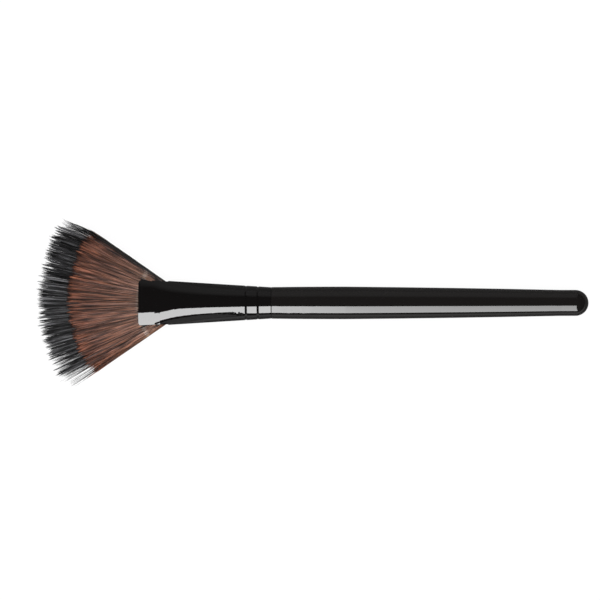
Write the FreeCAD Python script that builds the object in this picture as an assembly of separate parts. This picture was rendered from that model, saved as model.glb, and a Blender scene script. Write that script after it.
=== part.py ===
"""Fan make-up brush lying flat: turned handle, flattened metal ferrule, fan of short and long hair.

Lengths are millimetres and angles are degrees. While it is built, the brush has its axis on X, with
the joint between ferrule and handle at zero, the tail towards +X and the hair towards -X. At the end
it is laid on the handle's belly, with the middle of its outline over the origin.
"""
import FreeCAD, Part
import math
import os
import random

# Handle: one turned piece of wood with a tapered tenon
HANDLE_LENGTH = 106.6
SHOULDER_RADIUS = 5.31
SHOULDER_BEVEL = 0.14
BELLY_RADIUS = 5.47
BELLY_POSITION = 24.8
GRIP_RADIUS = 5.05
GRIP_POSITION = 60.0
TAIL_RADIUS = 4.36
TAIL_STRAIGHT = 5.0
TENON_LENGTH = 11.5
TENON_DRAFT = 0.5
TENON_BEVEL = 0.5
TENON_CLEARANCE = 0.05

# Ferrule: a round tube pressed flat towards its mouth, slit at both sides so that the hair can spread
FERRULE_LENGTH = 44.6
FERRULE_WALL = 0.42
JOINT_RADIUS = 5.27
MOUTH_HALF_WIDTH = 8.02
MOUTH_GIRTH_RADIUS = 5.44
MOUTH_HALF_HEIGHT = 2.72
MOUTH_CORNER = 1.3
PRESSED_LENGTH = 5.4
PRESS_STEP_LENGTH = 1.8
EDGE_RADIUS = 0.9
EDGE_SHARPENING = 6
SLIT_LENGTH = 10.2
SLIT_HEIGHT = 1.2
REAR_BEVEL = 0.2
REAR_BEVEL_DEPTH = 0.14
CRIMP_POSITIONS = (4.5, 8.5)
CRIMP_WIDTH = 0.9
CRIMP_DEPTH = 0.18
CUT_MARGIN = 0.03
ROUND_END_LENGTH = 0.9
TAPER_STEPS = 6

# Glue that holds the roots of the hair and the end of the tenon
GLUE_LENGTH = 12.4
GLUE_CLEARANCE = 0.05

# Hair: both lengths fan out from one point inside the ferrule
HAIR_CLEARANCE = 0.09
FAN_POINT_TO_MOUTH = 19.6
LONG_HAIR_REACH = 33.8
LONG_HALF_ANGLE = 34.2
LONG_LOCK_COUNT = 27
LONG_HALF_THICKNESS = 0.28
LONG_VALLEY = 0.72
LONG_RAGGEDNESS = 1.4
LONG_SEED = 11
SHORT_HAIR_REACH = 23.4
SHORT_HALF_ANGLE = 35.6
SHORT_LOCK_COUNT = 25
SHORT_END_HALF_THICKNESS = 1.15
SHORT_VALLEY = 0.62
SHORT_RAGGEDNESS = 1.9
SHORT_UPPER_SEED = 5
SHORT_LOWER_SEED = 8
LOCK_POINT_LENGTH = 2.2
LOCK_POINT_THICKNESS = 0.12
LOCK_SWAY = 0.22
LOCK_FACET_COUNT = 4

HAIR_OFFSET = -FERRULE_WALL - HAIR_CLEARANCE
SLIT_HAIR_HEIGHT = SLIT_HEIGHT / 2 - HAIR_CLEARANCE

OUTSIDE = 40.0
HALF_TURN = 180.0
SOLVER_STEPS = 60

PARTS_FOLDER = "parts"


def point(x, y, z):
    return FreeCAD.Vector(x, y, z)


class TubeSection:
    """One cross-section of the ferrule: two crown arcs joined at the sides by two edge arcs."""

    def __init__(self, half_width, edge_radius, handover, crown_radius):
        self.half_width = half_width
        self.edge_radius = edge_radius
        self.handover = handover
        self.crown_radius = crown_radius
        self.crown_drop = (crown_radius - edge_radius) * math.cos(handover)

    def height_at(self, y, offset):
        """Height of the crown above the middle plane, on the parallel section at that offset."""
        crown = self.crown_radius + offset
        if abs(y) < crown * math.sin(self.handover):
            return math.sqrt(crown ** 2 - y ** 2) - self.crown_drop
        edge = self.edge_radius + offset
        beyond = min(abs(y) - (self.half_width - self.edge_radius), edge)
        return math.sqrt(edge ** 2 - beyond ** 2)

    def half_width_at_height(self, z, offset):
        """Half width of the parallel section at a height that its crown arcs reach."""
        crown = self.crown_radius + offset
        return math.sqrt(crown ** 2 - (z + self.crown_drop) ** 2)

    def wire(self, x, offset):
        crown = self.crown_radius + offset
        side = crown * math.sin(self.handover)
        shoulder = crown * math.cos(self.handover) - self.crown_drop
        top = crown - self.crown_drop
        tip = self.half_width + offset
        left_up = point(x, -side, shoulder)
        right_up = point(x, side, shoulder)
        left_down = point(x, -side, -shoulder)
        right_down = point(x, side, -shoulder)
        upper = Part.Arc(left_up, point(x, 0, top), right_up)
        right = Part.Arc(right_up, point(x, tip, 0), right_down)
        lower = Part.Arc(right_down, point(x, 0, -top), left_down)
        left = Part.Arc(left_down, point(x, -tip, 0), left_up)
        return Part.Wire([arc.toShape() for arc in (upper, right, lower, left)])


def half_width_at(distance):
    """The ferrule widens evenly from its round end to its mouth."""
    return JOINT_RADIUS + (MOUTH_HALF_WIDTH - JOINT_RADIUS) * distance / FERRULE_LENGTH


def flattened_section(distance):
    """Pressing the tube keeps its girth, so its width at that distance from the joint sets its height.
    The tube is drawn slightly wider towards the mouth before it is pressed.
    """
    half_width = half_width_at(distance)
    share = distance / FERRULE_LENGTH
    girth_radius = JOINT_RADIUS + (MOUTH_GIRTH_RADIUS - JOINT_RADIUS) * share
    quarter_girth = girth_radius * math.pi / 2
    sharpening = (1 - share) ** EDGE_SHARPENING
    edge_radius = EDGE_RADIUS + (JOINT_RADIUS - EDGE_RADIUS) * sharpening
    low = 0.0
    high = math.pi / 2
    for _ in range(SOLVER_STEPS):
        handover = (low + high) / 2
        crown_radius = edge_radius + (half_width - edge_radius) / math.sin(handover)
        girth = crown_radius * handover + edge_radius * (math.pi / 2 - handover)
        if girth < quarter_girth:
            low = handover
        else:
            high = handover
    return TubeSection(half_width, edge_radius, handover, crown_radius)


def round_section():
    """The round end, split at the same angle as the first pressed section."""
    handover = flattened_section(ROUND_END_LENGTH).handover
    return TubeSection(JOINT_RADIUS, JOINT_RADIUS, handover, JOINT_RADIUS)


def pressed_section(distance):
    """The mouth is pressed again to a set height, in a short zone behind its front edge."""
    half_width = half_width_at(distance)
    reach = half_width - EDGE_RADIUS
    rise = MOUTH_HALF_HEIGHT - EDGE_RADIUS
    centre_distance = (reach ** 2 + rise ** 2) / (2 * rise)
    handover = math.asin(reach / centre_distance)
    return TubeSection(half_width, EDGE_RADIUS, handover, centre_distance + EDGE_RADIUS)


def tube_body(offset):
    """Solid bounded by the ferrule's outside, moved out or in by an offset."""
    press_start = FERRULE_LENGTH - PRESSED_LENGTH - PRESS_STEP_LENGTH
    press_end = FERRULE_LENGTH - PRESSED_LENGTH
    wires = [round_section().wire(0, offset)]
    for step in range(TAPER_STEPS):
        distance = press_start * (step + 1) / TAPER_STEPS
        wires.append(flattened_section(distance).wire(-distance, offset))
    taper = Part.makeLoft(wires, True, False)
    mouth_wires = [
        flattened_section(press_start).wire(-press_start, offset),
        pressed_section(press_end).wire(-press_end, offset),
        pressed_section(FERRULE_LENGTH).wire(-FERRULE_LENGTH, offset),
    ]
    mouth = Part.makeLoft(mouth_wires, True, True)
    return taper.fuse(mouth)


def slab(low_x, high_x, low_z=-OUTSIDE, high_z=OUTSIDE):
    """Wide block between two stations on the axis and two heights."""
    corner = point(low_x, -OUTSIDE, low_z)
    return Part.makeBox(high_x - low_x, 2 * OUTSIDE, high_z - low_z, corner)


def crimp_cutter(distance):
    """Ring that leaves a groove pressed into the tube, deepest at its middle."""
    section = flattened_section(distance)
    front = -distance - CRIMP_WIDTH / 2
    rear = -distance + CRIMP_WIDTH / 2
    wires = [
        flattened_section(-front).wire(front, CUT_MARGIN),
        section.wire(-distance, -CRIMP_DEPTH),
        flattened_section(-rear).wire(rear, CUT_MARGIN),
    ]
    return slab(front, rear).cut(Part.makeLoft(wires, True, True))


def rear_bevel_cutter():
    """Ring that bevels the outer corner of the ferrule's rear edge."""
    wires = [
        flattened_section(REAR_BEVEL).wire(-REAR_BEVEL, CUT_MARGIN),
        round_section().wire(0, -REAR_BEVEL_DEPTH),
    ]
    return slab(-REAR_BEVEL, REAR_BEVEL).cut(Part.makeLoft(wires, True, True))


def slit_cutter():
    """Slot with a round end that runs across the mouth and parts it into two tongues."""
    radius = SLIT_HEIGHT / 2
    end = -FERRULE_LENGTH + SLIT_LENGTH - radius
    straight = slab(-FERRULE_LENGTH - radius, end, -radius, radius)
    start = point(end, -OUTSIDE, 0)
    rounded = Part.makeCylinder(radius, 2 * OUTSIDE, start, point(0, 1, 0))
    return straight.fuse(rounded)


def mouth_corner_cutter(side):
    """Waste outside the rounded front corner of both tongues, on one side."""
    tongue_half_width = slit_edge_half_width()
    front = -FERRULE_LENGTH
    centre = point(front + MOUTH_CORNER, side * (tongue_half_width - MOUTH_CORNER), -OUTSIDE)
    block_low_y = min(centre.y, centre.y + side * MOUTH_CORNER * 2)
    block_corner = point(front - MOUTH_CORNER, block_low_y, -OUTSIDE)
    block = Part.makeBox(2 * MOUTH_CORNER, 2 * MOUTH_CORNER, 2 * OUTSIDE, block_corner)
    return block.cut(Part.makeCylinder(MOUTH_CORNER, 2 * OUTSIDE, centre))


def slit_edge_half_width():
    """Half width of a tongue at the mouth, measured at its cut edge."""
    radius = SLIT_HEIGHT / 2
    return MOUTH_HALF_WIDTH - EDGE_RADIUS + math.sqrt(EDGE_RADIUS ** 2 - radius ** 2)


def make_ferrule():
    body = tube_body(0).cut(tube_body(-FERRULE_WALL))
    cutters = [slit_cutter(), mouth_corner_cutter(1), mouth_corner_cutter(-1), rear_bevel_cutter()]
    for distance in CRIMP_POSITIONS:
        cutters.append(crimp_cutter(distance))
    for cutter in cutters:
        body = body.cut(cutter)
    return body


def make_handle():
    """Outline turned about the axis: tenon, shoulder, belly, slim grip, straight tail and round end."""
    tenon_radius = JOINT_RADIUS - FERRULE_WALL - TENON_CLEARANCE
    tenon_tip_radius = tenon_radius - TENON_DRAFT
    tail_centre = HANDLE_LENGTH - TAIL_RADIUS
    tail_start = tail_centre - TAIL_STRAIGHT
    tenon_front = point(-TENON_LENGTH, 0, 0)
    tenon_face = point(-TENON_LENGTH, 0, tenon_tip_radius - TENON_BEVEL)
    tenon_corner = point(-TENON_LENGTH + TENON_BEVEL, 0, tenon_tip_radius)
    tenon_root = point(0, 0, tenon_radius)
    shoulder_inner = point(0, 0, SHOULDER_RADIUS - SHOULDER_BEVEL)
    shoulder_outer = point(SHOULDER_BEVEL, 0, SHOULDER_RADIUS)
    belly = point(BELLY_POSITION, 0, BELLY_RADIUS)
    grip = point(GRIP_POSITION, 0, GRIP_RADIUS)
    tail_front = point(tail_start, 0, TAIL_RADIUS)
    tail_rear = point(tail_centre, 0, TAIL_RADIUS)
    half = math.sin(math.pi / 4) * TAIL_RADIUS
    dome_middle = point(tail_centre + half, 0, half)
    end = point(HANDLE_LENGTH, 0, 0)
    # A quarter of the rise above the chord makes the arc arrive level at the belly
    swell_middle = (shoulder_outer + belly) / 2
    swell_middle.z += (BELLY_RADIUS - SHOULDER_RADIUS) / 4
    edges = [
        Part.LineSegment(tenon_front, tenon_face),
        Part.LineSegment(tenon_face, tenon_corner),
        Part.LineSegment(tenon_corner, tenon_root),
        Part.LineSegment(tenon_root, shoulder_inner),
        Part.LineSegment(shoulder_inner, shoulder_outer),
        Part.Arc(shoulder_outer, swell_middle, belly),
        Part.Arc(belly, grip, tail_front),
        Part.LineSegment(tail_front, tail_rear),
        Part.Arc(tail_rear, dome_middle, end),
        Part.LineSegment(end, tenon_front),
    ]
    outline = Part.Face(Part.Wire([edge.toShape() for edge in edges]))
    return outline.revolve(point(0, 0, 0), point(1, 0, 0), 2 * HALF_TURN)


def make_glue_plug():
    core = tube_body(-FERRULE_WALL - GLUE_CLEARANCE)
    return core.common(slab(-TENON_LENGTH - GLUE_LENGTH, -TENON_LENGTH))


def fan_point(radius, angle):
    """Place in plan at a distance and an angle from the point where all hair directions meet."""
    x = -FERRULE_LENGTH + FAN_POINT_TO_MOUTH - radius * math.cos(angle)
    return point(x, radius * math.sin(angle), 0)


def throat_point(distance, angle):
    """Place in plan inside the ferrule, where the hair is gathered to the width of the tube."""
    cavity = flattened_section(distance).half_width_at_height(SLIT_HAIR_HEIGHT, HAIR_OFFSET)
    share = math.tan(angle) / math.tan(math.radians(SHORT_HALF_ANGLE))
    return point(-distance, cavity * share, 0)


def exit_point(angle):
    """Place in plan where hair leaves the ferrule, through the mouth or through a side slit."""
    through_mouth = FAN_POINT_TO_MOUTH / math.cos(angle)
    if angle == 0:
        return fan_point(through_mouth, angle)
    through_slit = slit_edge_half_width() / math.sin(abs(angle))
    return fan_point(min(through_mouth, through_slit), angle)


def hair_places(angle, shoulder):
    """Stations along one direction of the fan: the glue, the slit's end, the exit and the shoulder."""
    return [
        throat_point(TENON_LENGTH + GLUE_LENGTH, angle),
        throat_point(FERRULE_LENGTH - SLIT_LENGTH + SLIT_HEIGHT / 2, angle),
        exit_point(angle),
        fan_point(shoulder, angle),
    ]


def cavity_height(place):
    """Half thickness of the gathered hair at a place inside the ferrule."""
    distance = -place.x
    in_tube = flattened_section(distance).height_at(place.y, HAIR_OFFSET)
    under_press = pressed_section(distance).height_at(place.y, HAIR_OFFSET)
    return max(min(in_tube, under_press), SLIT_HAIR_HEIGHT)


def short_profile(places):
    """Half thickness of the whole bundle at each station. It evens out towards the end of the fan."""
    glue, slit, way_out, shoulder = places
    start = (way_out - fan_point(0, 0)).Length
    end = FAN_POINT_TO_MOUTH + SHORT_HAIR_REACH
    share = ((shoulder - fan_point(0, 0)).Length - start) / (end - start)
    at_exit = cavity_height(way_out)
    at_shoulder = at_exit + (SHORT_END_HALF_THICKNESS - at_exit) * share
    return [cavity_height(glue), cavity_height(slit), at_exit, at_shoulder]


def long_profile(places):
    """The layer of long hair keeps its thickness at every station."""
    return [LONG_HALF_THICKNESS] * len(places)


def facet(*corners):
    return Part.Face(Part.makePolygon(list(corners) + [corners[0]]))


def lowered(vector, floor):
    """The point straight below, on the layer's floor, or as far under the middle plane."""
    return point(vector.x, vector.y, -vector.z if floor is None else floor)


class HairLayer:
    """Closed skin over a row of locks that runs from the glue through the ferrule to ragged points."""

    def __init__(self, count, half_angle, reach, raggedness, valley, profile, floor):
        self.count = count
        self.half_angle = math.radians(half_angle)
        self.full_length = FAN_POINT_TO_MOUTH + reach
        self.raggedness = raggedness
        self.valley = valley
        self.profile = profile
        self.floor = floor
        self.base = 0 if floor is None else floor

    def tips(self, chance):
        """Outermost point of each lock. The middle one reaches furthest, and the outer two match."""
        step = 2 * self.half_angle / self.count
        lengths = []
        points = []
        for number in range(self.count):
            shortfall = self.raggedness * chance.random()
            sway = LOCK_SWAY * (2 * chance.random() - 1)
            if number == self.count // 2:
                shortfall = 0
                sway = 0
            if number in (0, self.count - 1):
                shortfall = self.raggedness / 2
                sway = 0
            length = self.full_length - shortfall
            angle = -self.half_angle + (number + 1 / 2 + sway) * step
            place = fan_point(length, angle)
            place.z = self.base + LOCK_POINT_THICKNESS
            lengths.append(length)
            points.append(place)
        return lengths, points

    def notches(self, lengths):
        """Distance at which neighbouring locks part, for each boundary between them."""
        padded = [lengths[0]] + lengths + [lengths[-1]]
        return [min(padded[n], padded[n + 1]) - LOCK_POINT_LENGTH for n in range(self.count + 1)]

    def columns(self, notches):
        """Lines of points from the glue to the shoulder, with several for each lock."""
        lines = []
        for number in range(self.count * LOCK_FACET_COUNT + 1):
            lock = min(number // LOCK_FACET_COUNT, self.count - 1)
            across = number / LOCK_FACET_COUNT - lock
            angle = (2 * number / (self.count * LOCK_FACET_COUNT) - 1) * self.half_angle
            shoulder = notches[lock] + (notches[lock + 1] - notches[lock]) * across
            places = hair_places(angle, shoulder)
            crown = 1 - (2 * across - 1) ** 2
            share = self.valley + (1 - self.valley) * crown
            for place, height in zip(places, self.profile(places)):
                place.z = self.base + share * (height - self.base)
            lines.append(places)
        return lines

    def top_faces(self, lines, tips):
        faces = []
        for number in range(len(lines) - 1):
            left = lines[number]
            right = lines[number + 1]
            for row in range(len(left) - 1):
                faces.append(facet(left[row], right[row], right[row + 1]))
                faces.append(facet(left[row], right[row + 1], left[row + 1]))
            faces.append(facet(left[-1], right[-1], tips[number // LOCK_FACET_COUNT]))
        return faces

    def wall_faces(self, lines, tips):
        """Upright faces along both sides, around the points of the locks and across the roots."""
        outer = [lines[0], lines[-1]]
        pairs = []
        for line in outer:
            pairs += list(zip(line, line[1:]))
        for number, tip in enumerate(tips):
            pairs.append((lines[number * LOCK_FACET_COUNT][-1], tip))
            pairs.append((lines[(number + 1) * LOCK_FACET_COUNT][-1], tip))
        faces = [facet(a, b, lowered(b, self.floor), lowered(a, self.floor)) for a, b in pairs]
        roots = [line[0] for line in lines]
        low_roots = [lowered(root, self.floor) for root in roots]
        if self.floor is not None:
            low_roots = [low_roots[0], low_roots[-1]]
        faces.append(facet(*roots, *reversed(low_roots)))
        return faces

    def floor_face(self, lines, tips):
        """The flat underside in one piece."""
        outline = list(lines[0])
        for number, tip in enumerate(tips):
            outline.append(tip)
            outline.append(lines[(number + 1) * LOCK_FACET_COUNT][-1])
        outline += reversed(lines[-1][:-1])
        return facet(*[lowered(corner, self.floor) for corner in outline])

    def make(self, seed):
        lengths, tips = self.tips(random.Random(seed))
        lines = self.columns(self.notches(lengths))
        faces = self.top_faces(lines, tips) + self.wall_faces(lines, tips)
        if self.floor is None:
            low_lines = [[lowered(corner, None) for corner in line] for line in lines]
            low_tips = [lowered(tip, None) for tip in tips]
            faces += self.top_faces(low_lines, low_tips)
        else:
            faces.append(self.floor_face(lines, tips))
        skin = Part.makeShell(faces)
        skin.sewShape()
        body = Part.Solid(skin)
        if body.Volume < 0:
            body.reverse()
        return body


def make_long_hair():
    """Thin middle layer of long hair, with its locks rounded above and below."""
    layer = HairLayer(
        LONG_LOCK_COUNT,
        LONG_HALF_ANGLE,
        LONG_HAIR_REACH,
        LONG_RAGGEDNESS,
        LONG_VALLEY,
        long_profile,
        None,
    )
    return layer.make(LONG_SEED)


def make_short_hair():
    """Two layers of short hair, one on each side of the long hair."""
    layer = HairLayer(
        SHORT_LOCK_COUNT,
        SHORT_HALF_ANGLE,
        SHORT_HAIR_REACH,
        SHORT_RAGGEDNESS,
        SHORT_VALLEY,
        short_profile,
        LONG_HALF_THICKNESS,
    )
    upper = layer.make(SHORT_UPPER_SEED)
    lower = layer.make(SHORT_LOWER_SEED).mirror(point(0, 0, 0), point(0, 0, 1))
    return Part.makeCompound([upper, lower])


def laid_down(shape):
    """Rest the belly on the ground and put the middle of the outline over the origin."""
    head_end = -FERRULE_LENGTH - LONG_HAIR_REACH
    middle = (head_end + HANDLE_LENGTH) / 2
    placed = shape.copy()
    placed.translate(point(-middle, 0, BELLY_RADIUS))
    return placed


def main():
    os.makedirs(PARTS_FOLDER, exist_ok=True)
    pieces = {
        "handle": make_handle(),
        "ferrule": make_ferrule(),
        "glue_plug": make_glue_plug(),
        "long_hair": make_long_hair(),
        "short_hair": make_short_hair(),
    }
    for name, shape in pieces.items():
        laid_down(shape).exportStep(PARTS_FOLDER + "/" + name + ".step")


main()
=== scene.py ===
"""Looks of a fan makeup brush that lies on a white surface, seen from straight above."""

import math

import bpy
import numpy as np
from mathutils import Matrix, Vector
from mathutils.bvhtree import BVHTree


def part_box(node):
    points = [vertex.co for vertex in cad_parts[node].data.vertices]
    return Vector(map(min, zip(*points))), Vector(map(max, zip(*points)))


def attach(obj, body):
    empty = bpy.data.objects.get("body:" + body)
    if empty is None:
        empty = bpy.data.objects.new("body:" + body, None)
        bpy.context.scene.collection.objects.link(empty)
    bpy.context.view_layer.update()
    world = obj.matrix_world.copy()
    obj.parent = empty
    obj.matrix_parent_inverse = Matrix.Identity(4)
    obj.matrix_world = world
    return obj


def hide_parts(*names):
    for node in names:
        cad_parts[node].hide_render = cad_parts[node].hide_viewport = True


MM = 0.001

# Camera: the width of the picture on the brush, and the point that it looks at
PICTURE_WIDTH = 201.67 * MM
VIEW_CENTRE_X = -4.45 * MM
VIEW_CENTRE_Y = 0.975 * MM
CAMERA_HEIGHT = 1.0
SENSOR_WIDTH = 36.0

# Fan of hair: every hair points away from one point inside the ferrule
FAN_POINT_TO_MOUTH = 19.6 * MM
HAIR_START_INSIDE_MOUTH = 9.7 * MM
FAN_HALF_ANGLE = 34.6
OUTLINE_SAMPLES = 241
OUTLINE_WINDOW = 71
HAIR_SEED = 7

# One hair: a thin tapering fibre
HAIR_RADIUS = 0.056 * MM
HAIR_RADIUS_SPREAD = 0.2
HAIR_TIP_SHARE = 0.4
HAIR_TAPER_START = 0.85
HAIR_POINT_LENGTH = 1.2 * MM
HAIR_RINGS = 8
HAIR_SIDES = 3
HAIR_SWAY = 0.1 * MM
HAIR_SWAY_WAVES = 1.3
HAIR_DIP = 0.35

# Strands: neighbouring hairs that lean together and share a tone, which changes along them
STRAND_JITTER = 0.2
STRAND_EVEN_SHARE = 0.6
STRAND_WAVE_SHORTEST = 5.0 * MM
STRAND_WAVE_LONGEST = 12.0 * MM
TONE_COLUMNS = 64
COLUMN_MARGIN = 0.15

# Short brown hair, in two layers. Depths run from -1 at the underside to 1 at the top of the fan,
# angles are in degrees, and ends are shares of the outline's reach.
UPPER_HAIRS = 4300
LOWER_HAIRS = 2600
BROWN_STRANDS = 190
BROWN_PULL = (0.2, 0.9)
BROWN_END = 1.03
BROWN_END_RISE = 0.018
BROWN_END_SPREAD = 0.014
BROWN_STRAND_END_SPREAD = 0.018
BROWN_TONE = 0.535
BROWN_TONE_SPREAD = 0.17
BROWN_STRAND_TONE_SPREAD = 0.42
UPPER_DEPTHS = (0.05, 1.0)
LOWER_DEPTHS = (-1.0, -0.05)
# Painted shade: the brown hair is darker in a band along the fan's upper edge.
UPPER_EDGE_WIDTH = 5.0
UPPER_EDGE_PAINTED_SHADE = 0.45
BROWN_CORNER_ANGLE = 29.5
BROWN_CORNER_WIDTH = 4.0
BROWN_CORNER_SHORTER = 0.13
# Some hairs are warm at random. Along the fan's lower edge all of them are, as painted light shining
# through the hair.
WARM_SHARE = 0.3
LOWER_EDGE_GLOW_WIDTH = 7.0

# Long black hair, in strands that part at their ends and grow sparse at the fan's corners
LONG_HAIRS = 4300
LOOSE_HAIRS = 3500
BLACK_STRANDS = 130
BLACK_PULL = (0.2, 0.85)
LOOSE_PULL = (0.0, 0.3)
BLACK_END = 1.022
BLACK_END_RISE = 0.012
BLACK_END_SPREAD = 0.014
BLACK_STRAND_END_SPREAD = 0.021
LOOSE_END = 1.01
LOOSE_END_SPREAD = 0.02
BLACK_TONE = 0.4
BLACK_TONE_SPREAD = 0.2
BLACK_STRAND_TONE_SPREAD = 0.38
ALL_DEPTHS = (-1.0, 1.0)
SPARSE_LOW_ANGLE = -17.5
SPARSE_HIGH_ANGLE = 26.5
SPARSE_WIDTH = 7.0
SPARSE_SHARE = 0.3
LOW_CORNER_ANGLE = -28.9
LOW_CORNER_WIDTH = 1.2
LOW_CORNER_SHARE = 0.009

# Black hairs that run over the brown ones, and more of them along the fan's upper edge
OVER_TONE = 0.2
OVER_HAIRS = 220
OVER_DEPTHS = (0.7, 1.0)
OVER_STRANDS = 160
EDGE_HAIRS = 1100
EDGE_STRANDS = 300
EDGE_SPREAD = 1.4
EDGE_SHORTEST = 0.72
EDGE_LONG_SHARE = 0.03
EDGE_DEPTHS = (0.8, 1.0)
EDGE_LONG = 1.2

# Pale uneven hair ends at the two outer corners of the short hair
FRAYED_HAIRS = 130
FRAYED_SPREAD = 1.6
FRAYED_ENDS = (0.9, 1.07)
FRAYED_TONE = 0.95
FRAYED_DEPTHS = (0.05, 0.3)

# Upper corner of the fan, where the ends of the long hair lean inwards
BEND_START_ANGLE = 12.0
BEND_START = 39.0 * MM
BEND_LENGTH = 15.0 * MM
BEND_ANGLE = 2.2

# Strip light: a long card beside the brush that its gloss mirrors as one bright band. A tilt is the
# angle from straight up at which the mirrored ray meets the card.
CARD_DISTANCE = 0.5
STRIP_INNER_TILT = 25.0
STRIP_OUTER_TILT = 77.0
STRIP_FAR_TILT = 57.0
STRIP_CUT_START = -0.024
STRIP_CUT_LENGTH = 0.038
STRIP_CUT_TILT = 16.0
STRIP_START = -0.285
STRIP_END = 0.23
STRIP_COLUMNS = 80
STRIP_RADIANCE = 11.3
STRIP_SHADES = ((-0.04, 1.0), (0.05, 0.73), (0.17, 0.61))

# Dim card under the strip's cut corner
RIM_START = -0.085
RIM_END = -0.04
RIM_GAP_TILT = 8.0
RIM_OUTER_TILT = 90.0
RIM_RADIANCE = 0.4

# Faint card on the other side, which fades out upwards
FILL_INNER_TILT = 40.0
FILL_FULL_TILT = 57.0
FILL_OUTER_TILT = 90.0
FILL_START = -0.6
FILL_END = 0.24
FILL_RADIANCE = 0.19

# White surface: the painted glow that the gloss mirrors in its place, by distance across the brush,
# dimmer close to the brush as painted shadow
FLOOR_SIZE = 3.0
FLOOR_ROUGHNESS = 0.9
FLOOR_WHITENESS = 0.92
FLOOR_COLOUR = (0.9, 0.9, 0.9)
FLOOR_IN_GLOSS = ((-0.15, 0.2), (-0.06, 0.5), (-0.028, 0.45), (-0.016, 0.12), (0.15, 0.13))

# Two soft lamps and an even sky
LAMP_HEIGHT = 0.8
LAMP_SIZE = 0.9
LAMP_POWER = 9.0
SECOND_LAMP_SHARE = 0.6
LAMP_ASIDE = 0.3
WORLD_LEVEL = 0.55

# Colours. Along stops are shares of the distance from the fan point to the longest hair's end, and
# tone stops are places across the map of tones, whose second half holds the warm ones.
LACQUER = (0.0065, 0.0058, 0.0056)
LACQUER_IOR = 1.54
COATING = (0.0038, 0.0034, 0.0034)
COATING_IOR = 1.57
GLOSS_ROUGHNESS = 0.03
WAVINESS_DEPTH = 0.002 * MM
WAVINESS_SCALE = 60.0
GLUE_CLEAR = (0.60, 0.48, 0.28)
GLUE_CLOUDY = (0.50, 0.41, 0.27)
GLUE_CLEAR_UP_TO = 0.3
GLUE_CLOUDY_FROM = 0.7
GLUE_CLOUD_SCALE = 400.0
GLUE_ROUGHNESS = 0.35
BROWN_ROUGHNESS = 0.5
BROWN_SPECULAR = 0.35
BLACK_ROUGHNESS = 0.4
BLACK_SPECULAR = 0.15
# The pale stops at 0.364 and 0.376 are a painted band of light on the hair where it leaves the ferrule's
# mouth, painted over the shade of the ferrule's lip.
BROWN_ALONG = (
    (0.352, (0.122, 0.066, 0.048)),
    (0.364, (0.210, 0.155, 0.135)),
    (0.376, (0.210, 0.155, 0.135)),
    (0.39, (0.134, 0.073, 0.055)),
    (0.43, (0.124, 0.062, 0.045)),
    (0.58, (0.115, 0.052, 0.036)),
    (0.69, (0.104, 0.0435, 0.0295)),
    (0.79, (0.175, 0.070, 0.045)),
)
BROWN_TONES = (
    (0.0, (0.04, 0.03, 0.03)),
    (0.15, (0.35, 0.31, 0.29)),
    (0.27, (1.05, 1.05, 1.05)),
    (0.5, (2.9, 2.85, 2.8)),
    (0.5, (0.1, 0.05, 0.03)),
    (0.77, (0.98, 0.8, 0.56)),
    (1.0, (2.6, 2.1, 1.5)),
)
BLACK_ALONG = ((0.3, (0.03, 0.029, 0.03)), (1.0, (0.036, 0.036, 0.038)))
# The black's tones are darker and lighter at random, and its light end, up to six times the black, is
# painted sheen on the black hair.
BLACK_TONES = (
    (0.0, (0.03, 0.03, 0.03)),
    (0.18, (0.3, 0.3, 0.3)),
    (0.3, (1.3, 1.3, 1.3)),
    (0.5, (6.0, 6.0, 6.0)),
)


def smooth(share):
    share = np.clip(share, 0, 1)
    return share * share * (3 - 2 * share)


def new_material(name):
    """A node material, its tree and its surface shader."""
    material = bpy.data.materials.new(name)
    material.use_nodes = True
    tree = material.node_tree
    return material, tree, tree.nodes["Principled BSDF"]


def colour_ramp(tree, stops, factor):
    """Colours by place along a ramp; stops is a list of (place, colour)."""
    ramp = tree.nodes.new("ShaderNodeValToRGB")
    elements = ramp.color_ramp.elements
    while len(elements) < len(stops):
        elements.new(1.0)
    for element, (place, colour) in zip(elements, stops):
        element.position = place
        element.color = (*colour, 1.0)
    tree.links.new(factor, ramp.inputs["Fac"])
    return ramp.outputs["Color"]


def place_ramp(tree, axis, stops):
    """Grey by place in space along one axis; stops is a list of (metres, brightness)."""
    start = stops[0][0]
    end = stops[-1][0]
    geometry = tree.nodes.new("ShaderNodeNewGeometry")
    split = tree.nodes.new("ShaderNodeSeparateXYZ")
    spread = tree.nodes.new("ShaderNodeMapRange")
    spread.inputs["From Min"].default_value = start
    spread.inputs["From Max"].default_value = end
    tree.links.new(geometry.outputs["Position"], split.inputs["Vector"])
    tree.links.new(split.outputs[axis], spread.inputs["Value"])
    shades = [((place - start) / (end - start), (shade, shade, shade)) for place, shade in stops]
    return colour_ramp(tree, shades, spread.outputs["Result"])


def hair_material(name, along_stops, tone_stops, roughness, specular):
    """Colour runs along the hair, and each hair is lighter or darker by its own tone; the brown's along
    stops hold a painted band of light at the mouth, and the black's light tones are painted sheen.
    """
    material, tree, shader = new_material(name)
    places = tree.nodes.new("ShaderNodeUVMap")
    places.uv_map = "OFBake"
    split = tree.nodes.new("ShaderNodeSeparateXYZ")
    tree.links.new(places.outputs["UV"], split.inputs["Vector"])
    along = colour_ramp(tree, along_stops, split.outputs["Y"])
    tone = colour_ramp(tree, tone_stops, split.outputs["X"])
    mix = tree.nodes.new("ShaderNodeMix")
    mix.data_type = "RGBA"
    mix.blend_type = "MULTIPLY"
    mix.inputs["Factor"].default_value = 1.0
    tree.links.new(along, mix.inputs["A"])
    tree.links.new(tone, mix.inputs["B"])
    tree.links.new(mix.outputs["Result"], shader.inputs["Base Color"])
    shader.inputs["Roughness"].default_value = roughness
    shader.inputs["Specular IOR Level"].default_value = specular
    return material


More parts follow.
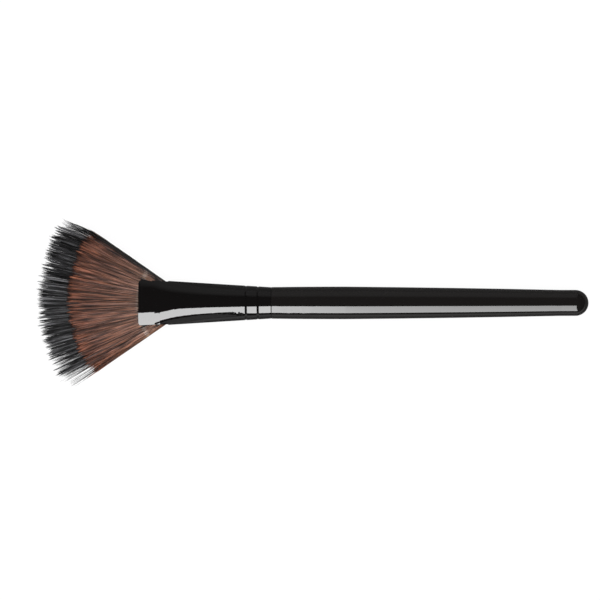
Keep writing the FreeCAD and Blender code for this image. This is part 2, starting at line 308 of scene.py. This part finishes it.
def noise_texture(tree, scale):
    places = tree.nodes.new("ShaderNodeTexCoord")
    noise = tree.nodes.new("ShaderNodeTexNoise")
    noise.inputs["Scale"].default_value = scale
    tree.links.new(places.outputs["Object"], noise.inputs["Vector"])
    return noise.outputs["Fac"]


def gloss_material(name, colour, ior):
    """Smooth black gloss with a very faint waviness in its surface."""
    material, tree, shader = new_material(name)
    shader.inputs["Base Color"].default_value = (*colour, 1.0)
    shader.inputs["IOR"].default_value = ior
    shader.inputs["Roughness"].default_value = GLOSS_ROUGHNESS
    bump = tree.nodes.new("ShaderNodeBump")
    bump.inputs["Distance"].default_value = WAVINESS_DEPTH
    tree.links.new(noise_texture(tree, WAVINESS_SCALE), bump.inputs["Height"])
    tree.links.new(bump.outputs["Normal"], shader.inputs["Normal"])
    return material


def glue_material():
    """Cured amber glue, a little cloudy."""
    material, tree, shader = new_material("glue_amber")
    stops = [(GLUE_CLEAR_UP_TO, GLUE_CLEAR), (GLUE_CLOUDY_FROM, GLUE_CLOUDY)]
    colour = colour_ramp(tree, stops, noise_texture(tree, GLUE_CLOUD_SCALE))
    tree.links.new(colour, shader.inputs["Base Color"])
    shader.inputs["Roughness"].default_value = GLUE_ROUGHNESS
    return material


class Fan:
    """Places in the fan by angle and distance from its point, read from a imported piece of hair."""

    def __init__(self, node, level, floor):
        self.floor = floor
        self.centre = Vector((fan_x, 0, level))
        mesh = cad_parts[node].data
        corners = [vertex.co.copy() for vertex in mesh.vertices]
        faces = [tuple(polygon.vertices) for polygon in mesh.polygons]
        self.skin = BVHTree.FromPolygons(corners, faces)

    def reach(self, angle):
        """Distance from the fan point to the ends of the hair at that angle."""
        away = Vector((-math.cos(angle), math.sin(angle), 0))
        hit = self.skin.ray_cast(self.centre + away * PICTURE_WIDTH, -away)
        if hit[0] is None:
            return 0.0
        return (hit[0] - self.centre).length

    def outline(self, angles):
        """Evened out distance to the ends of the hair at many angles."""
        samples = np.linspace(-half_fan, half_fan, OUTLINE_SAMPLES)
        reaches = np.array([self.reach(angle) for angle in samples])
        near = np.lib.stride_tricks.sliding_window_view(reaches, OUTLINE_WINDOW).max(axis=1)
        margin = (OUTLINE_SAMPLES - len(near)) // 2
        return np.interp(angles, samples[margin : margin + len(near)], near)

    def height(self, x, y):
        """Height of the top of the hair above the middle plane."""
        hit = self.skin.ray_cast(Vector((x, y, 1.0)), Vector((0, 0, -1)))
        if hit[0] is None:
            return 0.0
        return hit[0].z - axis_z

    def heights(self, x, y):
        """Heights at every ring of every hair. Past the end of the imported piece, the last one holds."""
        heights = np.array([self.height(px, py) for px, py in zip(x.ravel(), y.ravel())])
        heights = heights.reshape(x.shape)
        for ring in range(1, HAIR_RINGS + 1):
            missing = heights[:, ring] <= 0
            heights[missing, ring] = heights[missing, ring - 1]
        return heights

    def layer_heights(self, x, y, depth):
        """Height at a depth: 0 to 1 in the layer above the floor, 0 to -1 in the one below it."""
        over = np.maximum(self.heights(x, y) - self.floor, 0)
        return np.sign(depth) * self.floor + depth * over


class Strands:
    """Directions that neighbouring hairs lean towards, each with a length and a tone of its own."""

    def __init__(self, count, end_spread, tone_spread):
        slots = np.arange(count) + rng.uniform(STRAND_JITTER, 1 - STRAND_JITTER, count)
        self.directions = half_fan * (2 * slots / count - 1)
        self.shortfall = np.abs(rng.normal(0, end_spread, count))
        self.tone = rng.normal(0, tone_spread * STRAND_EVEN_SHARE, count)
        self.tone_change = rng.normal(0, tone_spread, count)
        self.wave = rng.uniform(STRAND_WAVE_SHORTEST, STRAND_WAVE_LONGEST, count)
        self.start = rng.uniform(0, 2 * math.pi, count)

    def nearest(self, angles):
        return np.argmin(np.abs(angles[:, None] - self.directions[None]), axis=1)

    def tones(self, group, distances):
        """Tone of each hair's strand at every ring."""
        turn = 2 * math.pi * distances / self.wave[group][:, None] + self.start[group][:, None]
        return self.tone[group][:, None] + self.tone_change[group][:, None] * np.sin(turn)


class HairFamily:
    """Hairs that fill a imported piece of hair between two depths, -1 (under) to 1 (top)."""

    def __init__(self, fan, strands, angles, depths, pull, end_shares):
        self.fan = fan
        self.strands = strands
        self.angles = angles
        self.depths = depths
        self.pull = pull
        self.count = len(angles)
        self.group = strands.nearest(angles)
        shares = end_shares - strands.shortfall[self.group]
        start = (FAN_POINT_TO_MOUTH - HAIR_START_INSIDE_MOUTH) / np.cos(angles)[:, None]
        reaches = (fan.outline(angles) * shares)[:, None]
        body = start + (reaches - HAIR_POINT_LENGTH - start) * np.linspace(0, 1, HAIR_RINGS)[None]
        self.distances = np.concatenate([body, reaches], axis=1)
        self.steps = (self.distances - start) / (reaches - start)

    def per_hair(self, low, high):
        return rng.uniform(low, high, self.count)[:, None]

    def bearings(self):
        """Direction from the fan point to every ring of every hair."""
        toward = (self.strands.directions[self.group] - self.angles)[:, None]
        pulled = self.angles[:, None] + toward * self.per_hair(*self.pull) * self.steps**2
        wave = np.sin(self.per_hair(0, 2 * math.pi) + self.steps * 2 * math.pi * HAIR_SWAY_WAVES)
        sway = HAIR_SWAY * rng.normal(0, 1, self.count)[:, None] * smooth(self.steps) * wave
        return pulled + sway / self.distances

    def bent(self, bearings):
        """Near the fan's upper corner the ends lean inwards."""
        outward = np.degrees(bearings) - BEND_START_ANGLE
        outward = outward / (FAN_HALF_ANGLE - BEND_START_ANGLE)
        along = (self.distances - BEND_START) / BEND_LENGTH
        return bearings - math.radians(BEND_ANGLE) * smooth(outward) * smooth(along)

    def points(self, leaning):
        bearings = self.bearings()
        if leaning:
            bearings = self.bent(bearings)
        x = fan_x - self.distances * np.cos(bearings)
        y = self.distances * np.sin(bearings)
        low, high = self.depths
        turn = self.per_hair(0, 2 * math.pi) + self.steps * 2 * math.pi
        depth = np.clip(self.per_hair(low, high) + HAIR_DIP * (high - low) * np.sin(turn), low, high)
        level = self.fan.layer_heights(x, y, depth)
        return np.stack([x, y, axis_z + level], axis=2)

    def columns(self, tone, tone_spread, warm):
        """Place across the colour map at every ring of every hair. Warm hairs use its second half."""
        tones = tone + self.strands.tones(self.group, self.distances)
        tones = tones + rng.normal(0, tone_spread, self.count)[:, None]
        half = TONE_COLUMNS // 2
        return np.clip(tones, 0, 1) * (half - 1) + np.reshape(np.where(warm, half, 0), (-1, 1))

    def make(self, name, slot, tone, tone_spread, warm=False, leaning=False):
        steps = (self.steps - HAIR_TAPER_START) / (1 - HAIR_TAPER_START)
        taper = 1 - (1 - HAIR_TIP_SHARE) * smooth(steps)
        radii = HAIR_RADIUS * self.per_hair(1 - HAIR_RADIUS_SPREAD, 1 + HAIR_RADIUS_SPREAD) * taper
        places = np.clip(self.distances / long_reach, 0, 1)
        columns = self.columns(tone, tone_spread, warm)
        piece = hair_piece(name, self.points(leaning), radii, columns, places)
        piece.data.materials.append(hair_materials[slot])
        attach(piece, "root")
        return piece


def hair_piece(name, points, radii, columns, along):
    """Closed tapering fibres with one point at their end; points is hairs x rings x 3."""
    hairs, rings = points.shape[:2]
    directions = np.gradient(points, axis=1)
    directions /= np.linalg.norm(directions, axis=2, keepdims=True)
    up = np.zeros_like(directions)
    up[..., 2] = 1
    across = np.cross(up, directions)
    across /= np.linalg.norm(across, axis=2, keepdims=True)
    raised = np.cross(directions, across)
    turn = rng.uniform(0, 2 * math.pi, hairs)
    bodies = rings - 1
    vertices = np.zeros((hairs, bodies * HAIR_SIDES + 1, 3))
    for side in range(HAIR_SIDES):
        angle = turn + side * 2 * math.pi / HAIR_SIDES
        out = np.cos(angle)[:, None, None] * across + np.sin(angle)[:, None, None] * raised
        ring = points + out * radii[..., None]
        vertices[:, side : bodies * HAIR_SIDES : HAIR_SIDES] = ring[:, :bodies]
    vertices[:, -1] = points[:, -1]
    quads = []
    for ring in range(bodies - 1):
        for side in range(HAIR_SIDES):
            following = (side + 1) % HAIR_SIDES
            low = ring * HAIR_SIDES
            high = low + HAIR_SIDES
            quads.append((low + side, low + following, high + following, high + side))
    last = (bodies - 1) * HAIR_SIDES
    tip = bodies * HAIR_SIDES
    triangles = [(last + side, last + (side + 1) % HAIR_SIDES, tip) for side in range(HAIR_SIDES)]
    triangles.append(tuple(reversed(range(HAIR_SIDES))))
    per_hair = vertices.shape[1]
    starts = (np.arange(hairs) * per_hair)[:, None, None]
    quad_corners = (starts + np.array(quads)[None]).reshape(hairs, -1)
    triangle_corners = (starts + np.array(triangles)[None]).reshape(hairs, -1)
    corners = np.concatenate([quad_corners, triangle_corners], axis=1).ravel()
    totals = np.tile([4] * len(quads) + [3] * len(triangles), hairs)
    mesh = bpy.data.meshes.new(name)
    mesh.vertices.add(hairs * per_hair)
    mesh.vertices.foreach_set("co", vertices.astype(np.float32).ravel())
    mesh.loops.add(len(corners))
    mesh.loops.foreach_set("vertex_index", corners.astype(np.int32))
    mesh.polygons.add(len(totals))
    loop_starts = np.concatenate([[0], np.cumsum(totals)[:-1]])
    mesh.polygons.foreach_set("loop_start", loop_starts.astype(np.int32))
    mesh.update(calc_edges=True)
    mesh.polygons.foreach_set("use_smooth", np.ones(len(totals), bool))
    set_places(mesh, columns, along, bodies, len(quads))
    mesh.validate()
    piece = bpy.data.objects.new(name, mesh)
    bpy.context.scene.collection.objects.link(piece)
    return piece


def set_places(mesh, columns, along, bodies, quad_count):
    """Map that holds each hair's tone across and its place along the fan upwards."""
    left = (columns + COLUMN_MARGIN) / TONE_COLUMNS
    right = (columns + 1 - COLUMN_MARGIN) / TONE_COLUMNS
    middle = (left + right) / 2
    blocks = []
    for number in range(quad_count):
        ring = number // HAIR_SIDES
        near = along[:, ring]
        far = along[:, ring + 1]
        blocks += [left[:, ring], near, right[:, ring], near]
        blocks += [right[:, ring + 1], far, left[:, ring + 1], far]
    last = bodies - 1
    near = along[:, last]
    far = along[:, bodies]
    for _ in range(HAIR_SIDES):
        blocks += [left[:, last], near, right[:, last], near, middle[:, last], far]
    blocks += [left[:, 0], along[:, 0], right[:, 0], along[:, 0], middle[:, 0], along[:, 1]]
    places = np.stack(blocks, axis=1)
    layer = mesh.uv_layers.new(name="OFBake")
    layer.data.foreach_set("uv", places.astype(np.float32).ravel())


def spread_angles(count):
    return rng.uniform(-half_fan, half_fan, count)


def end_shares(count, longest, spread):
    return longest - np.abs(rng.normal(0, spread, count))


def kept_strands(angles):
    """Chance choice of the strands that are kept. Fewer are, towards the fan's corners."""
    beyond_low = smooth((SPARSE_LOW_ANGLE - np.degrees(angles)) / SPARSE_WIDTH)
    beyond_high = smooth((np.degrees(angles) - SPARSE_HIGH_ANGLE) / SPARSE_WIDTH)
    share = 1 - (1 - SPARSE_SHARE) * (beyond_low + beyond_high)
    return rng.uniform(0, 1, len(angles)) < share


def kept_hairs(angles):
    """Chance choice of the hairs that are kept. Only a few are, at the fan's lower corner."""
    low_corner = smooth((LOW_CORNER_ANGLE - np.degrees(angles)) / LOW_CORNER_WIDTH)
    share = 1 - (1 - LOW_CORNER_SHARE) * low_corner
    return rng.uniform(0, 1, len(angles)) < share


def make_brown_hair():
    """Two layers of short hair: darker towards the fan's upper edge as painted shade, and warmer along
    its lower edge as painted light shining through the hair.
    """
    fan = Fan("short_hair", short_level, short_floor)
    layers = (
        ("brown_upper", UPPER_HAIRS, UPPER_DEPTHS),
        ("brown_lower", LOWER_HAIRS, LOWER_DEPTHS),
    )
    for name, count, depths in layers:
        strands = Strands(BROWN_STRANDS, BROWN_STRAND_END_SPREAD, BROWN_STRAND_TONE_SPREAD)
        angles = spread_angles(count)
        longest = BROWN_END + BROWN_END_RISE * angles / half_fan
        shares = end_shares(count, longest, BROWN_END_SPREAD)
        corner = smooth((np.degrees(np.abs(angles)) - BROWN_CORNER_ANGLE) / BROWN_CORNER_WIDTH)
        shares -= BROWN_CORNER_SHORTER * corner * rng.uniform(0, 1, count)
        # Painted light: near the lower edge every hair takes the warm colours, for light shining through
        # the hair.
        from_low_edge = np.degrees(half_fan + angles) / LOWER_EDGE_GLOW_WIDTH
        warm = rng.uniform(0, 1, count) < np.maximum(WARM_SHARE, 1 - smooth(from_low_edge))
        # Painted shade: the brown tone is darker towards the fan's upper edge.
        from_high_edge = np.degrees(half_fan - angles) / UPPER_EDGE_WIDTH
        tone = BROWN_TONE - UPPER_EDGE_PAINTED_SHADE * (1 - smooth(from_high_edge))
        family = HairFamily(fan, strands, angles, depths, BROWN_PULL, shares)
        piece = family.make(name, "brown_hair", tone[:, None], BROWN_TONE_SPREAD, warm)
        if name == "brown_upper":
            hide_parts("short_hair")
    make_frayed_corners(fan, strands)


def make_frayed_corners(fan, strands):
    """Uneven pale hair ends at the two outer corners of the short hair."""
    from_edge = np.radians(rng.exponential(FRAYED_SPREAD, FRAYED_HAIRS))
    side = rng.choice((-1, 1), FRAYED_HAIRS)
    angles = side * (half_fan - np.minimum(from_edge, half_fan))
    shares = rng.uniform(*FRAYED_ENDS, FRAYED_HAIRS)
    family = HairFamily(fan, strands, angles, FRAYED_DEPTHS, LOOSE_PULL, shares)
    family.make("brown_frayed", "brown_hair", FRAYED_TONE, BROWN_TONE_SPREAD)


def make_long_hair():
    """Strands of long hair with loose hairs between them."""
    fan = Fan("long_hair", axis_z, 0)
    strands = Strands(BLACK_STRANDS, BLACK_STRAND_END_SPREAD, BLACK_STRAND_TONE_SPREAD)
    kept = kept_strands(strands.directions)
    angles = spread_angles(LONG_HAIRS)
    angles = angles[kept[strands.nearest(angles)] & kept_hairs(angles)]
    rise = BLACK_END_RISE * angles / half_fan
    shares = end_shares(len(angles), BLACK_END + rise, BLACK_END_SPREAD)
    family = HairFamily(fan, strands, angles, ALL_DEPTHS, BLACK_PULL, shares)
    piece = family.make("black_strands", "black_hair", BLACK_TONE, BLACK_TONE_SPREAD, leaning=True)
    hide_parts("long_hair")
    angles = spread_angles(LOOSE_HAIRS)
    angles = angles[kept_strands(angles) & kept_hairs(angles)]
    rise = BLACK_END_RISE * angles / half_fan
    shares = end_shares(len(angles), LOOSE_END + rise, LOOSE_END_SPREAD)
    family = HairFamily(fan, strands, angles, ALL_DEPTHS, LOOSE_PULL, shares)
    family.make("black_loose", "black_hair", BLACK_TONE, BLACK_TONE_SPREAD, leaning=True)


def make_covering_hair():
    """Black hairs on top of the brown ones: some all over, and a dark band along the upper edge."""
    fan = Fan("short_hair", short_level, short_floor)
    strands = Strands(OVER_STRANDS, BROWN_STRAND_END_SPREAD, 0)
    angles = spread_angles(OVER_HAIRS)
    shares = end_shares(OVER_HAIRS, EDGE_LONG, BLACK_END_SPREAD)
    family = HairFamily(fan, strands, angles, OVER_DEPTHS, BLACK_PULL, shares)
    family.make("black_over", "black_hair", OVER_TONE, BLACK_TONE_SPREAD, leaning=True)
    strands = Strands(EDGE_STRANDS, BROWN_STRAND_END_SPREAD, 0)
    from_edge = rng.exponential(math.radians(EDGE_SPREAD), EDGE_HAIRS)
    angles = half_fan - np.minimum(from_edge, half_fan)
    shares = rng.uniform(EDGE_SHORTEST, 1, EDGE_HAIRS)
    long_ones = rng.uniform(0, 1, EDGE_HAIRS) < EDGE_LONG_SHARE
    shares[long_ones] = EDGE_LONG
    family = HairFamily(fan, strands, angles, EDGE_DEPTHS, LOOSE_PULL, shares)
    family.make("black_edge", "black_hair", OVER_TONE, BLACK_TONE_SPREAD, leaning=True)


def card_height(tilt):
    """Height at which a ray mirrored at that angle from straight up meets a card."""
    return axis_z + CARD_DISTANCE / math.tan(math.radians(tilt))


def make_card(name, side, columns, stops_axis, stops, radiance):
    """Upright card beside the brush; columns is a list of (x, outer tilt, inner tilt)."""
    corners = []
    for x, outer, inner in columns:
        corners.append((x, side * CARD_DISTANCE, card_height(outer)))
        corners.append((x, side * CARD_DISTANCE, card_height(inner)))
    faces = [(n, n + 2, n + 3, n + 1) for n in range(0, len(corners) - 2, 2)]
    mesh = bpy.data.meshes.new(name)
    mesh.from_pydata(corners, [], faces)
    piece = bpy.data.objects.new(name, mesh)
    bpy.context.scene.collection.objects.link(piece)
    piece.visible_camera = False
    piece.visible_diffuse = False
    piece.visible_shadow = False
    piece.visible_transmission = False
    material = bpy.data.materials.new(name)
    material.use_nodes = True
    tree = material.node_tree
    tree.nodes.clear()
    glow = tree.nodes.new("ShaderNodeEmission")
    glow.inputs["Strength"].default_value = radiance
    tree.links.new(place_ramp(tree, stops_axis, stops), glow.inputs["Color"])
    output = tree.nodes.new("ShaderNodeOutputMaterial")
    tree.links.new(glow.outputs["Emission"], output.inputs["Surface"])
    mesh.materials.append(material)


def strip_outer_tilt(x):
    """Lower edge of the strip light. Its far corner is cut away in a curve."""
    share = max(STRIP_CUT_START - x, 0) / STRIP_CUT_LENGTH
    return max(STRIP_OUTER_TILT - STRIP_CUT_TILT * share**2, STRIP_FAR_TILT)


def make_cards():
    strip = []
    for x in np.linspace(STRIP_START, STRIP_END, STRIP_COLUMNS):
        strip.append((x, strip_outer_tilt(x), STRIP_INNER_TILT))
    make_card("strip_card", -1, strip, "X", STRIP_SHADES, STRIP_RADIANCE)
    rim = []
    for x in np.linspace(RIM_START, RIM_END, STRIP_COLUMNS):
        rim.append((x, RIM_OUTER_TILT, strip_outer_tilt(x) + RIM_GAP_TILT))
    make_card("rim_card", -1, rim, "X", ((RIM_START, 1.0), (RIM_END, 1.0)), RIM_RADIANCE)
    fill = [(x, FILL_OUTER_TILT, FILL_INNER_TILT) for x in (FILL_START, FILL_END)]
    fade = ((card_height(FILL_FULL_TILT), 1.0), (card_height(FILL_INNER_TILT), 0.0))
    make_card("fill_card", 1, fill, "Z", fade, FILL_RADIANCE)


def make_floor():
    """White surface under the brush. It keeps a faint shadow, and in the brush's gloss it looks dim, as a
    painted glow by place that is darker near the brush as painted shadow.
    """
    bpy.ops.mesh.primitive_plane_add(size=FLOOR_SIZE, location=(0, 0, 0))
    floor = bpy.context.object
    floor.name = "floor"
    material, tree, shader = new_material("white_surface")
    shader.inputs["Base Color"].default_value = (*FLOOR_COLOUR, 1.0)
    shader.inputs["Roughness"].default_value = FLOOR_ROUGHNESS
    shader.inputs["Specular IOR Level"].default_value = 0.0
    white = tree.nodes.new("ShaderNodeEmission")
    # Painted reflection: glossy rays see this dim glow by place, darker near the brush as painted shadow.
    dim = tree.nodes.new("ShaderNodeEmission")
    tree.links.new(place_ramp(tree, "Y", FLOOR_IN_GLOSS), dim.inputs["Color"])
    path = tree.nodes.new("ShaderNodeLightPath")
    seen = tree.nodes.new("ShaderNodeMath")
    seen.operation = "MULTIPLY"
    seen.inputs[1].default_value = FLOOR_WHITENESS
    tree.links.new(path.outputs["Is Camera Ray"], seen.inputs[0])
    plain = tree.nodes.new("ShaderNodeMixShader")
    tree.links.new(seen.outputs["Value"], plain.inputs["Fac"])
    tree.links.new(shader.outputs["BSDF"], plain.inputs[1])
    tree.links.new(white.outputs["Emission"], plain.inputs[2])
    mirrored = tree.nodes.new("ShaderNodeMixShader")
    tree.links.new(path.outputs["Is Glossy Ray"], mirrored.inputs["Fac"])
    tree.links.new(plain.outputs["Shader"], mirrored.inputs[1])
    tree.links.new(dim.outputs["Emission"], mirrored.inputs[2])
    output = tree.nodes["Material Output"]
    tree.links.new(mirrored.outputs["Shader"], output.inputs["Surface"])
    floor.data.materials.append(material)


def make_world():
    """Even light from all round that the gloss doesn't mirror."""
    world = bpy.data.worlds.new("world")
    world.use_nodes = True
    bpy.context.scene.world = world
    tree = world.node_tree
    sky = tree.nodes["Background"]
    sky.inputs["Strength"].default_value = WORLD_LEVEL
    dark = tree.nodes.new("ShaderNodeBackground")
    dark.inputs["Strength"].default_value = 0.0
    for background in (sky, dark):
        background.inputs["Color"].default_value = (1.0, 1.0, 1.0, 1.0)
    path = tree.nodes.new("ShaderNodeLightPath")
    mix = tree.nodes.new("ShaderNodeMixShader")
    tree.links.new(path.outputs["Is Glossy Ray"], mix.inputs["Fac"])
    tree.links.new(sky.outputs["Background"], mix.inputs[1])
    tree.links.new(dark.outputs["Background"], mix.inputs[2])
    tree.links.new(mix.outputs["Shader"], tree.nodes["World Output"].inputs["Surface"])


def make_lamp(name, side, power):
    """Large soft lamp high up on one side of the brush, aimed at its middle."""
    light = bpy.data.lights.new(name, "AREA")
    light.shape = "SQUARE"
    light.size = LAMP_SIZE
    light.energy = power
    lamp = bpy.data.objects.new(name, light)
    lamp.location = (side * LAMP_ASIDE, side * LAMP_ASIDE, LAMP_HEIGHT)
    lamp.rotation_mode = "QUATERNION"
    lamp.rotation_quaternion = (-lamp.location).to_track_quat("-Z", "Y")
    lamp.visible_glossy = False
    bpy.context.scene.collection.objects.link(lamp)


def make_camera():
    data = bpy.data.cameras.new("camera")
    data.sensor_width = SENSOR_WIDTH
    data.lens = SENSOR_WIDTH * (CAMERA_HEIGHT - axis_z) / PICTURE_WIDTH
    camera = bpy.data.objects.new("camera", data)
    camera.location = (VIEW_CENTRE_X, VIEW_CENTRE_Y, CAMERA_HEIGHT)
    bpy.context.scene.collection.objects.link(camera)
    bpy.context.scene.camera = camera


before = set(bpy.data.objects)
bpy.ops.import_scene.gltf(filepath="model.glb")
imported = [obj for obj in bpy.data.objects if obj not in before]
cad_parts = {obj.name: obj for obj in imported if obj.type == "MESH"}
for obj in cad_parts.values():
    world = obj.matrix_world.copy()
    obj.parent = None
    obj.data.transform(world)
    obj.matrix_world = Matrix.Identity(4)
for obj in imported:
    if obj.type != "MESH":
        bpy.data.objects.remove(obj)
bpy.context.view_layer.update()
rng = np.random.default_rng(HAIR_SEED)

half_fan = math.radians(FAN_HALF_ANGLE)
axis_z = (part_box("handle")[0].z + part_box("handle")[1].z) / 2
fan_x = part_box("ferrule")[0].x + FAN_POINT_TO_MOUTH
long_reach = fan_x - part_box("long_hair")[0].x
short_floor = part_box("long_hair")[1].z - axis_z
short_level = axis_z + short_floor + HAIR_RADIUS

hair_materials = {
    "brown_hair": hair_material(
        "brown_fibres", BROWN_ALONG, BROWN_TONES, BROWN_ROUGHNESS, BROWN_SPECULAR
    ),
    "black_hair": hair_material(
        "black_fibres", BLACK_ALONG, BLACK_TONES, BLACK_ROUGHNESS, BLACK_SPECULAR
    ),
}
make_brown_hair()
make_long_hair()
make_covering_hair()

for node, material in (
    ("handle", gloss_material("black_lacquer", LACQUER, LACQUER_IOR)),
    ("ferrule", gloss_material("black_coating", COATING, COATING_IOR)),
    ("glue_plug", glue_material()),
):
    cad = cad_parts[node]
    cad.data.materials.clear()
    cad.data.materials.append(material)

make_cards()
make_floor()
make_lamp("key", -1, LAMP_POWER)
make_lamp("second", 1, LAMP_POWER * SECOND_LAMP_SHARE)
make_world()
make_camera()
bpy.context.scene.view_settings.view_transform = "Standard"
